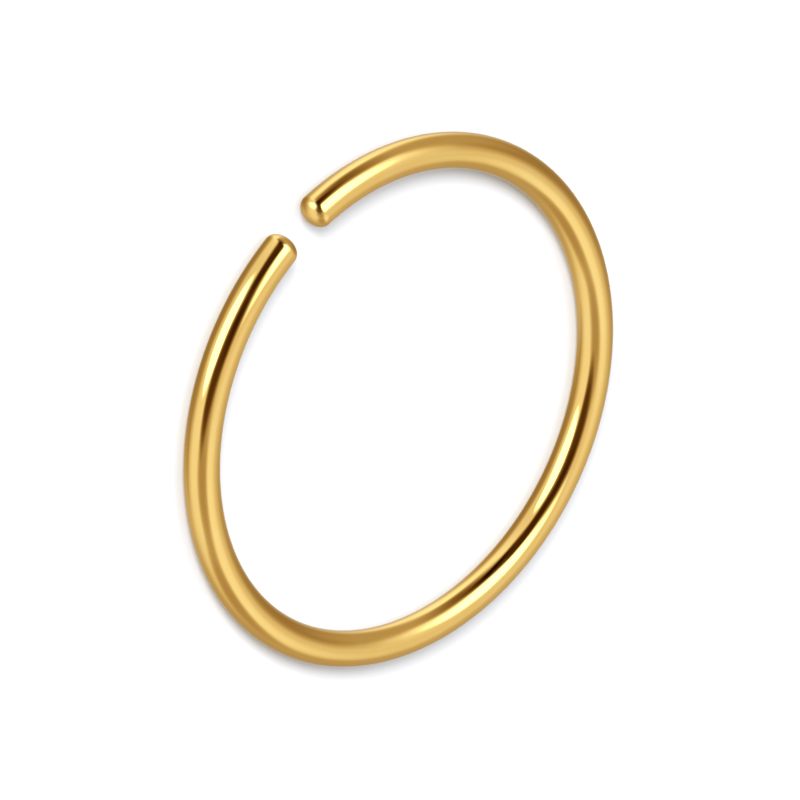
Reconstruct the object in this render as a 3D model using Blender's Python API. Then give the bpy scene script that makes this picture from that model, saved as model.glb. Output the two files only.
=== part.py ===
"""Nose ring.

One length of round wire, bent to a circle and left open by a narrow gap between its two rounded ends.
It lies on its side: the wire's circle is level round the Z axis, and the gap faces -Y.
Units are metres, with +Z up and the origin on the surface that it rests on, under the circle's centre.
"""

import math

import bmesh
import bpy
from mathutils import Matrix, Vector

# Driving sizes
WIRE_DIAMETER = 0.00075
INNER_DIAMETER = 0.0100
TIP_GAP = 0.00060
ROUNDED_END_LENGTH = 0.00027

# Facets that the round forms are made of: round the wire, along the circle, and over each rounded end.
# An odd number along the circle puts the middle of a facet opposite the gap.
WIRE_SIDES = 16
CIRCLE_FACETS = 141
END_FACETS = 5

# Polished yellow gold
GOLD_COLOUR = (0.93, 0.66, 0.27, 1.0)
GOLD_ROUGHNESS = 0.12

# Sizes that follow
WIRE_RADIUS = WIRE_DIAMETER / 2
CIRCLE_RADIUS = INNER_DIAMETER / 2 + WIRE_RADIUS
CORNER_RADIUS = WIRE_RADIUS / math.cos(math.pi / WIRE_SIDES)

# Turn from the middle of the gap to where the wire stops being round the circle and its rounded end begins.
# The end goes on straight from there, so its tip reaches back towards the gap by nearly its whole length.
TIP_REACH = math.hypot(CIRCLE_RADIUS, ROUNDED_END_LENGTH)
END_ANGLE = math.asin(TIP_GAP / 2 / TIP_REACH) + math.atan(ROUNDED_END_LENGTH / CIRCLE_RADIUS)


def clear_scene():
    """Removes every object that the scene already holds."""
    for leftover in list(bpy.data.objects):
        bpy.data.objects.remove(leftover, do_unlink=True)


def gold():
    """Bright yellow gold, polished."""
    material = bpy.data.materials.new("polished_gold")
    material.use_nodes = True
    shader = material.node_tree.nodes["Principled BSDF"]
    shader.inputs["Base Color"].default_value = GOLD_COLOUR
    shader.inputs["Metallic"].default_value = 1.0
    shader.inputs["Roughness"].default_value = GOLD_ROUGHNESS
    material.diffuse_color = GOLD_COLOUR
    return material


def wire_centre(angle):
    """Centre of the wire, at an angle from the middle of the gap."""
    return Vector((CIRCLE_RADIUS * math.sin(angle), -CIRCLE_RADIUS * math.cos(angle), WIRE_RADIUS))


def wire_section(mesh, angle):
    """Draws the wire's outline across the circle, with flats below, above, inside and outside."""
    half_side = Matrix.Rotation(math.pi / WIRE_SIDES, 4, "Z")
    upright = Matrix.Rotation(math.pi / 2, 4, "X")
    facing_out = Matrix.Rotation(angle - math.pi / 2, 4, "Z")
    place = Matrix.Translation(wire_centre(angle)) @ facing_out @ upright @ half_side
    section = bmesh.ops.create_circle(
        mesh, cap_ends=False, segments=WIRE_SIDES, radius=CORNER_RADIUS, matrix=place)
    return list({edge for corner in section["verts"] for edge in corner.link_edges})


def bend_round(mesh, section):
    """Sweeps the section round the circle to the other end, and returns its outline there."""
    swept = bmesh.ops.spin(
        mesh, geom=section, cent=(0, 0, 0), axis=(0, 0, 1),
        angle=2 * (math.pi - END_ANGLE), steps=CIRCLE_FACETS)
    return [item for item in swept["geom_last"] if isinstance(item, bmesh.types.BMEdge)]


def round_off(mesh, outline, base, outwards):
    """Closes an open end of the wire with a dome that goes on along its run, from base to the tip."""
    width = 1.0
    for facet in range(1, END_FACETS):
        slope = facet / END_FACETS * math.pi / 2
        narrowing = math.cos(slope) / width
        extruded = bmesh.ops.extrude_edge_only(mesh, edges=outline)["geom"]
        for corner in (item for item in extruded if isinstance(item, bmesh.types.BMVert)):
            arm = corner.co - base
            across = arm - arm.project(outwards)
            corner.co = base + across * narrowing + outwards * ROUNDED_END_LENGTH * math.sin(slope)
        outline = [item for item in extruded if isinstance(item, bmesh.types.BMEdge)]
        width *= narrowing
    cap = bmesh.ops.edgeloop_fill(mesh, edges=outline)["faces"]
    tip = bmesh.ops.poke(mesh, faces=cap)["verts"][0]
    tip.co = base + outwards * ROUNDED_END_LENGTH


def make_hoop():
    """The ring itself: bent wire with both ends rounded, as one closed solid."""
    mesh = bmesh.new()
    first_end = wire_section(mesh, END_ANGLE)
    last_end = bend_round(mesh, first_end)
    for side, outline in ((1, first_end), (-1, last_end)):
        angle = side * END_ANGLE
        outwards = Vector((-math.cos(angle), -math.sin(angle), 0)) * side
        round_off(mesh, outline, wire_centre(angle), outwards)
    bmesh.ops.recalc_face_normals(mesh, faces=mesh.faces)

    hoop_mesh = bpy.data.meshes.new("hoop")
    mesh.to_mesh(hoop_mesh)
    mesh.free()
    hoop_mesh.shade_smooth()
    hoop_mesh.materials.append(gold())
    hoop = bpy.data.objects.new("hoop", hoop_mesh)
    bpy.context.scene.collection.objects.link(hoop)


clear_scene()
make_hoop()
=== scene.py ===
"""Looks of an open nose hoop in polished yellow gold, lying on its side on a pale surface."""

import math

import bmesh
import bpy
from mathutils import Matrix, Vector


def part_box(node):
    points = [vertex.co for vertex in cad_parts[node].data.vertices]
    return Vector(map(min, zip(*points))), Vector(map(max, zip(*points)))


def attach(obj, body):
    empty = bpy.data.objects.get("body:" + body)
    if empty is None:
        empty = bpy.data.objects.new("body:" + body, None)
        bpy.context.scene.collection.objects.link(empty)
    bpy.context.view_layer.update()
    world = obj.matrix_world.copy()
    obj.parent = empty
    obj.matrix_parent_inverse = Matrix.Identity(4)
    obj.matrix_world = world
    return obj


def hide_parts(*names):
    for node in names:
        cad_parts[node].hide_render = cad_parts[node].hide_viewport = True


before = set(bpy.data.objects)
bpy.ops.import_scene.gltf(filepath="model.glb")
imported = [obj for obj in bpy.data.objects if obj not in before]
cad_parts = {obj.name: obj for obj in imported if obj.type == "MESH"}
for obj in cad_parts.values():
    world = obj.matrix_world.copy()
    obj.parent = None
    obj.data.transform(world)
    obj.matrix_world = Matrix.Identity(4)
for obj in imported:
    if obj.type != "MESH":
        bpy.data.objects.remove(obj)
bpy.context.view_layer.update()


# The hoop
# One length of round stainless wire, bent round a mandrel until its ends nearly meet, tumbled until they are
# rounded and smooth, then plated in yellow gold and polished to a mirror. It is sprung open to put it on.
ROUNDED_END_LENGTH = 0.00027
WIRE_SIDES = 64
CIRCLE_STEPS = 720
END_STEPS = 16

cad_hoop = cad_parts["hoop"]
hoop_low, hoop_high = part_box("hoop")
wire_radius = (hoop_high.z - hoop_low.z) / 2
circle_radius = (hoop_high.x - hoop_low.x) / 2 - wire_radius
tip_gap = 2 * min(abs(point.co.x) for point in cad_hoop.data.vertices if point.co.y < 0)
end_angle = (
    math.asin(tip_gap / 2 / math.hypot(circle_radius, ROUNDED_END_LENGTH))
    + math.atan(ROUNDED_END_LENGTH / circle_radius))


def wire_centre(angle):
    """Middle of the wire, at an angle round the circle from the middle of the gap."""
    return Vector((circle_radius * math.sin(angle), -circle_radius * math.cos(angle), wire_radius))


def draw_wire_outline(mesh, angle):
    """The first edges of an empty mesh: the round outline of the wire where one of its ends begins."""
    upright = Matrix.Rotation(math.pi / 2, 4, "X")
    facing_out = Matrix.Rotation(angle - math.pi / 2, 4, "Z")
    place = Matrix.Translation(wire_centre(angle)) @ facing_out @ upright
    bmesh.ops.create_circle(mesh, cap_ends=False, segments=WIRE_SIDES, radius=wire_radius, matrix=place)
    return list(mesh.edges)


def tumble_end(mesh, outline, base, outwards):
    """Rounds an end over in smooth steps and closes it at the tip."""
    share_of_width = 1.0
    for step in range(1, END_STEPS):
        slope = step / END_STEPS * math.pi / 2
        narrowing = math.cos(slope) / share_of_width
        extruded = bmesh.ops.extrude_edge_only(mesh, edges=outline)["geom"]
        for point in (item for item in extruded if isinstance(item, bmesh.types.BMVert)):
            arm = point.co - base
            across = arm - arm.project(outwards)
            point.co = base + across * narrowing + outwards * ROUNDED_END_LENGTH * math.sin(slope)
        outline = [item for item in extruded if isinstance(item, bmesh.types.BMEdge)]
        share_of_width *= narrowing
    cap = bmesh.ops.edgeloop_fill(mesh, edges=outline)["faces"]
    tip = bmesh.ops.poke(mesh, faces=cap)["verts"][0]
    tip.co = base + outwards * ROUNDED_END_LENGTH


def bend_hoop():
    """The bent wire with both ends rounded, as one closed skin."""
    mesh = bmesh.new()
    first_end = draw_wire_outline(mesh, end_angle)
    swept = bmesh.ops.spin(
        mesh, geom=first_end, cent=(0, 0, 0), axis=(0, 0, 1),
        angle=2 * (math.pi - end_angle), steps=CIRCLE_STEPS)
    last_end = [item for item in swept["geom_last"] if isinstance(item, bmesh.types.BMEdge)]
    for side, outline in ((1, first_end), (-1, last_end)):
        outwards = Vector((-math.cos(end_angle) * side, -math.sin(end_angle), 0))
        tumble_end(mesh, outline, wire_centre(side * end_angle), outwards)
    bmesh.ops.recalc_face_normals(mesh, faces=mesh.faces)
    skin = bpy.data.meshes.new("gold_hoop")
    mesh.to_mesh(skin)
    mesh.free()
    skin.shade_smooth()
    return skin


class Nodes:
    """Adds nodes to a tree and joins them, so that a finish reads from its coordinates to its shader."""

    def __init__(self, tree):
        self.tree = tree

    def add(self, kind, inputs=(), **settings):
        """A node with its settings, and each input set to a value or joined to another node's output."""
        node = self.tree.nodes.new(kind)
        for name, value in settings.items():
            setattr(node, name, value)
        for socket, value in dict(inputs).items():
            if isinstance(value, bpy.types.NodeSocket):
                self.join(value, node.inputs[socket])
            else:
                node.inputs[socket].default_value = value
        return node

    def join(self, output, socket):
        """Feeds one node's output to another's input."""
        self.tree.links.new(output, socket)

    def calculate(self, operation, *values):
        """The result of a Math node."""
        return self.add("ShaderNodeMath", dict(enumerate(values)), operation=operation).outputs[0]

    def spread(self, value, low, high, to_low=0.0, to_high=1.0):
        """A value stretched smoothly from one range to another, and held at its ends."""
        inputs = {"Value": value, "From Min": low, "From Max": high, "To Min": to_low, "To Max": to_high}
        return self.add("ShaderNodeMapRange", inputs, interpolation_type="SMOOTHSTEP").outputs["Result"]


GOLD = (0.974, 0.685, 0.232, 1.0)
GOLD_RUBBED = (0.975, 0.71, 0.262, 1.0)
GOLD_GRAZING = (0.68, 0.66, 0.68, 1.0)
POLISHED_ROUGHNESS = 0.055
HAZED_ROUGHNESS = 0.16
TUMBLED_ROUGHNESS = 0.22
TUMBLED_BLEND_ANGLE = 0.02
# drawing lines and patches are counted to the metre
LINES_ACROSS = 12000.0
LINES_ALONG = 500.0
LINE_DETAIL = 4.0
LINE_DEPTH = 0.0000008
PATCHES = 900.0
RIPPLE_DETAIL = 1.0
RIPPLE_DEPTH = 0.000006
HAZE_DETAIL = 4.0
HAZED_BETWEEN = (0.4, 0.8)
RUBBED_BETWEEN = (0.45, 0.75)
# a Mix node's sockets for colours have the same names as those for numbers, so they go by their places
COLOUR_A = 6
COLOUR_B = 7
COLOUR_RESULT = 2


def polished_gold():
    """Mirror-polished plating, with faint drawing lines along the wire, hazed patches and satin tips."""
    material = bpy.data.materials.new("polished_yellow_gold")
    material.use_nodes = True
    nodes = Nodes(material.node_tree)
    shader = material.node_tree.nodes["Principled BSDF"]

    place = nodes.add("ShaderNodeTexCoord").outputs["Object"]
    xyz = nodes.add("ShaderNodeSeparateXYZ", {"Vector": place})
    x, y, z = (xyz.outputs[axis] for axis in "XYZ")
    from_middle = nodes.calculate("SQRT", nodes.calculate(
        "ADD", nodes.calculate("MULTIPLY", x, x), nodes.calculate("MULTIPLY", y, y)))
    across = nodes.calculate("SUBTRACT", from_middle, circle_radius)
    turned = nodes.calculate("ARCTAN2", x, y)
    along = nodes.calculate("MULTIPLY", turned, circle_radius)

    drawn = nodes.add("ShaderNodeCombineXYZ", {
        "X": nodes.calculate("MULTIPLY", across, LINES_ACROSS),
        "Y": nodes.calculate("MULTIPLY", z, LINES_ACROSS),
        "Z": nodes.calculate("MULTIPLY", along, LINES_ALONG)}).outputs["Vector"]
    lines = nodes.add("ShaderNodeTexNoise", {"Vector": drawn, "Scale": 1.0, "Detail": LINE_DETAIL})
    ripple = nodes.add("ShaderNodeTexNoise", {"Vector": place, "Scale": PATCHES, "Detail": RIPPLE_DETAIL})
    haze = nodes.add("ShaderNodeTexNoise", {"Vector": place, "Scale": PATCHES, "Detail": HAZE_DETAIL})
    hazed = haze.outputs["Fac"]

    rubbed = nodes.spread(hazed, *RUBBED_BETWEEN)
    colour = nodes.add(
        "ShaderNodeMix", {"Factor": rubbed, COLOUR_A: GOLD, COLOUR_B: GOLD_RUBBED}, data_type="RGBA")
    nodes.join(colour.outputs[COLOUR_RESULT], shader.inputs["Base Color"])

    # how far round from the back of the hoop each rounded end begins
    end_turned = math.pi - end_angle
    satin = nodes.spread(
        nodes.calculate("ABSOLUTE", turned),
        end_turned - TUMBLED_BLEND_ANGLE, end_turned + TUMBLED_BLEND_ANGLE, 0.0, TUMBLED_ROUGHNESS)
    worn = nodes.spread(hazed, *HAZED_BETWEEN, POLISHED_ROUGHNESS, HAZED_ROUGHNESS)
    nodes.join(nodes.calculate("MAXIMUM", worn, satin), shader.inputs["Roughness"])

    wave = nodes.add("ShaderNodeBump", {
        "Height": ripple.outputs["Fac"], "Strength": 1.0, "Distance": RIPPLE_DEPTH})
    scored = nodes.add("ShaderNodeBump", {
        "Height": lines.outputs["Fac"], "Strength": 1.0, "Distance": LINE_DEPTH,
        "Normal": wave.outputs["Normal"]})
    nodes.join(scored.outputs["Normal"], shader.inputs["Normal"])
    shader.inputs["Metallic"].default_value = 1.0
    shader.inputs["Specular Tint"].default_value = GOLD_GRAZING
    return material


hoop = bpy.data.objects.new("gold_hoop", bend_hoop())
bpy.context.scene.collection.objects.link(hoop)
hoop.data.materials.append(polished_gold())
# in the photograph no part of the hoop mirrors another
hoop.visible_glossy = False
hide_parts("hoop")
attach(hoop, "root")


# The surface
# A wide sheet of smooth white card, level under the hoop and reaching past every view of it. The wire
# doesn't mirror it, so that it shows what it shows in the photograph, where the hoop stands upright.
SURFACE_RADIUS = 0.6
SURFACE_SIDES = 96
CARD = (0.50, 0.52, 0.56, 1.0)
CARD_ROUGHNESS = 0.9


def lay_card():
    """The round sheet of card that the hoop lies on."""
    mesh = bmesh.new()
    bmesh.ops.create_circle(mesh, cap_ends=True, segments=SURFACE_SIDES, radius=SURFACE_RADIUS)
    sheet = bpy.data.meshes.new("white_card")
    mesh.to_mesh(sheet)
    mesh.free()
    card = bpy.data.objects.new("white_card", sheet)
    bpy.context.scene.collection.objects.link(card)
    material = bpy.data.materials.new("white_card")
    material.use_nodes = True
    shader = material.node_tree.nodes["Principled BSDF"]
    shader.inputs["Base Color"].default_value = CARD
    shader.inputs["Roughness"].default_value = CARD_ROUGHNESS
    sheet.materials.append(material)
    card.visible_glossy = False
    return card


lay_card()


# The light
# A photographer's small tent, brighter and dimmer in places, is all that the hoop mirrors. A soft box hangs
# high on the left, a panel glows low in front, and the wire mirrors the dark gap between them as a brown
# line. Two broad lamps light the card alone, and give it the hoop's soft shadow.
TENT_LEVEL = 0.85
SOFT_BOX_LEVEL = 3.0
PANEL_LEVEL = 2.7
GREEN_DIMMING = 1.34
BLUE_DIMMING = 1.92
KEY_PLACE = (9, 36)
KEY_WIDTH = 24
KEY_STRENGTH = 6.2
KEY_COLOUR = (1.0, 0.98, 0.95)
FILL_PLACE = (0, 89)
FILL_WIDTH = 150
FILL_STRENGTH = 1.5
FILL_COLOUR = (0.93, 0.97, 1.0)


def towards(azimuth, elevation):
    """Direction out from the hoop, with azimuth 0 at the gap and 90 at +X, in degrees."""
    turn, rise = math.radians(azimuth), math.radians(elevation)
    return Vector((math.sin(turn) * math.cos(rise), -math.cos(turn) * math.cos(rise), math.sin(rise)))


def light_tent():
    """The world: what the hoop mirrors and is lit by."""
    world = bpy.data.worlds.new("light_tent")
    world.use_nodes = True
    nodes = Nodes(world.node_tree)
    view = nodes.add("ShaderNodeTexCoord").outputs["Generated"]

    def hang(tent, azimuth, elevation, inner, outer, level):
        """Brings a round part of the tent to a level, fully inside one angle and not at all past another."""
        facing = nodes.add(
            "ShaderNodeVectorMath", {0: view, 1: towards(azimuth, elevation)}, operation="DOT_PRODUCT")
        part = nodes.spread(
            facing.outputs["Value"], math.cos(math.radians(outer)), math.cos(math.radians(inner)))
        return nodes.add("ShaderNodeMix", {"Factor": part, "A": tent, "B": level}).outputs["Result"]

    # the walls and the floor: bright on the left in front, dim at the back right and below
    tent = hang(TENT_LEVEL, -65, 0, 20, 70, 1.3)
    tent = hang(tent, 20, -75, 5, 45, 0.35)
    tent = hang(tent, 135, 10, 30, 95, 0.55)
    tent = hang(tent, 75, -40, 0, 30, 0.35)
    # the cloth: brighter at the back and the right, dim in its folds and at the left
    tent = hang(tent, 160, 50, 5, 40, 1.0)
    tent = hang(tent, -110, 5, 0, 50, 0.35)
    tent = hang(tent, 80, 15, 10, 75, 0.95)
    tent = hang(tent, 135, 20, 0, 30, 0.45)
    tent = hang(tent, 95, 45, 0, 35, 0.45)
    tent = hang(tent, -45, 5, 5, 35, 0.2)
    tent = hang(tent, -80, 0, 0, 40, 0.5)
    # the soft box and the front panel
    tent = hang(tent, -45, 60, 10, 30, SOFT_BOX_LEVEL)
    tent = hang(tent, 30, 0, 20, 25, PANEL_LEVEL)
    # the dark gap, from the left over the camera to the right
    tent = hang(tent, -20, 20, 0, 25, 0.0)
    tent = hang(tent, -5, 35, 10, 25, 0.06)
    tent = hang(tent, 30, 50, 0, 35, 0.04)
    tent = hang(tent, 55, 40, 0, 25, 0.09)

    # dim cloth is also warm
    green = nodes.calculate("MINIMUM", tent, nodes.calculate("POWER", tent, GREEN_DIMMING))
    blue = nodes.calculate("MINIMUM", tent, nodes.calculate("POWER", tent, BLUE_DIMMING))
    colour = nodes.add("ShaderNodeCombineColor", {"Red": tent, "Green": green, "Blue": blue})
    nodes.join(colour.outputs["Color"], world.node_tree.nodes["Background"].inputs["Color"])
    return world


def hang_lamp(name, place, width, strength, colour):
    """A broad lamp that lights and shades only the card: the hoop is polished, and doesn't mirror it."""
    data = bpy.data.lights.new(name, "SUN")
    data.energy = strength
    data.angle = math.radians(width)
    data.color = colour
    lamp = bpy.data.objects.new(name, data)
    lamp.visible_glossy = False
    lamp.rotation_euler = towards(*place).to_track_quat("Z", "Y").to_euler()
    bpy.context.scene.collection.objects.link(lamp)


bpy.context.scene.world = light_tent()
hang_lamp("key", KEY_PLACE, KEY_WIDTH, KEY_STRENGTH, KEY_COLOUR)
hang_lamp("fill", FILL_PLACE, FILL_WIDTH, FILL_STRENGTH, FILL_COLOUR)
bpy.context.scene.view_settings.view_transform = "Standard"


# The camera
# A long lens at the photograph's angle: 43 degrees above the plane of the hoop, 25 degrees to the right of
# its gap, and rolled until the gap stands at the upper left.
CAMERA_AZIMUTH = 25.25
CAMERA_ELEVATION = 43.4
CAMERA_ROLL = 114.7
CAMERA_DISTANCE = 0.40
HOOP_SHARE_OF_FRAME = 0.70
SENSOR_WIDTH = 36.0
NEAREST_SEEN = 0.01
FURTHEST_SEEN = 5.0


def stand_camera():
    """The camera, aimed at the middle of the hoop."""
    data = bpy.data.cameras.new("camera")
    camera = bpy.data.objects.new("camera", data)
    bpy.context.scene.collection.objects.link(camera)
    backwards = towards(CAMERA_AZIMUTH, CAMERA_ELEVATION)
    level_right = Vector((0, 0, 1)).cross(backwards).normalized()
    level_up = backwards.cross(level_right)
    roll = math.radians(CAMERA_ROLL)
    right = level_right * math.cos(roll) + level_up * math.sin(roll)
    up = backwards.cross(right)
    middle = Vector((0, 0, wire_radius))
    turn = Matrix((right, up, backwards)).transposed().to_4x4()
    camera.matrix_world = Matrix.Translation(middle + backwards * CAMERA_DISTANCE) @ turn
    outer = circle_radius + wire_radius
    data.sensor_width = SENSOR_WIDTH
    data.lens = SENSOR_WIDTH * CAMERA_DISTANCE * HOOP_SHARE_OF_FRAME / (2 * outer)
    data.clip_start = NEAREST_SEEN
    data.clip_end = FURTHEST_SEEN
    bpy.context.scene.camera = camera


stand_camera()
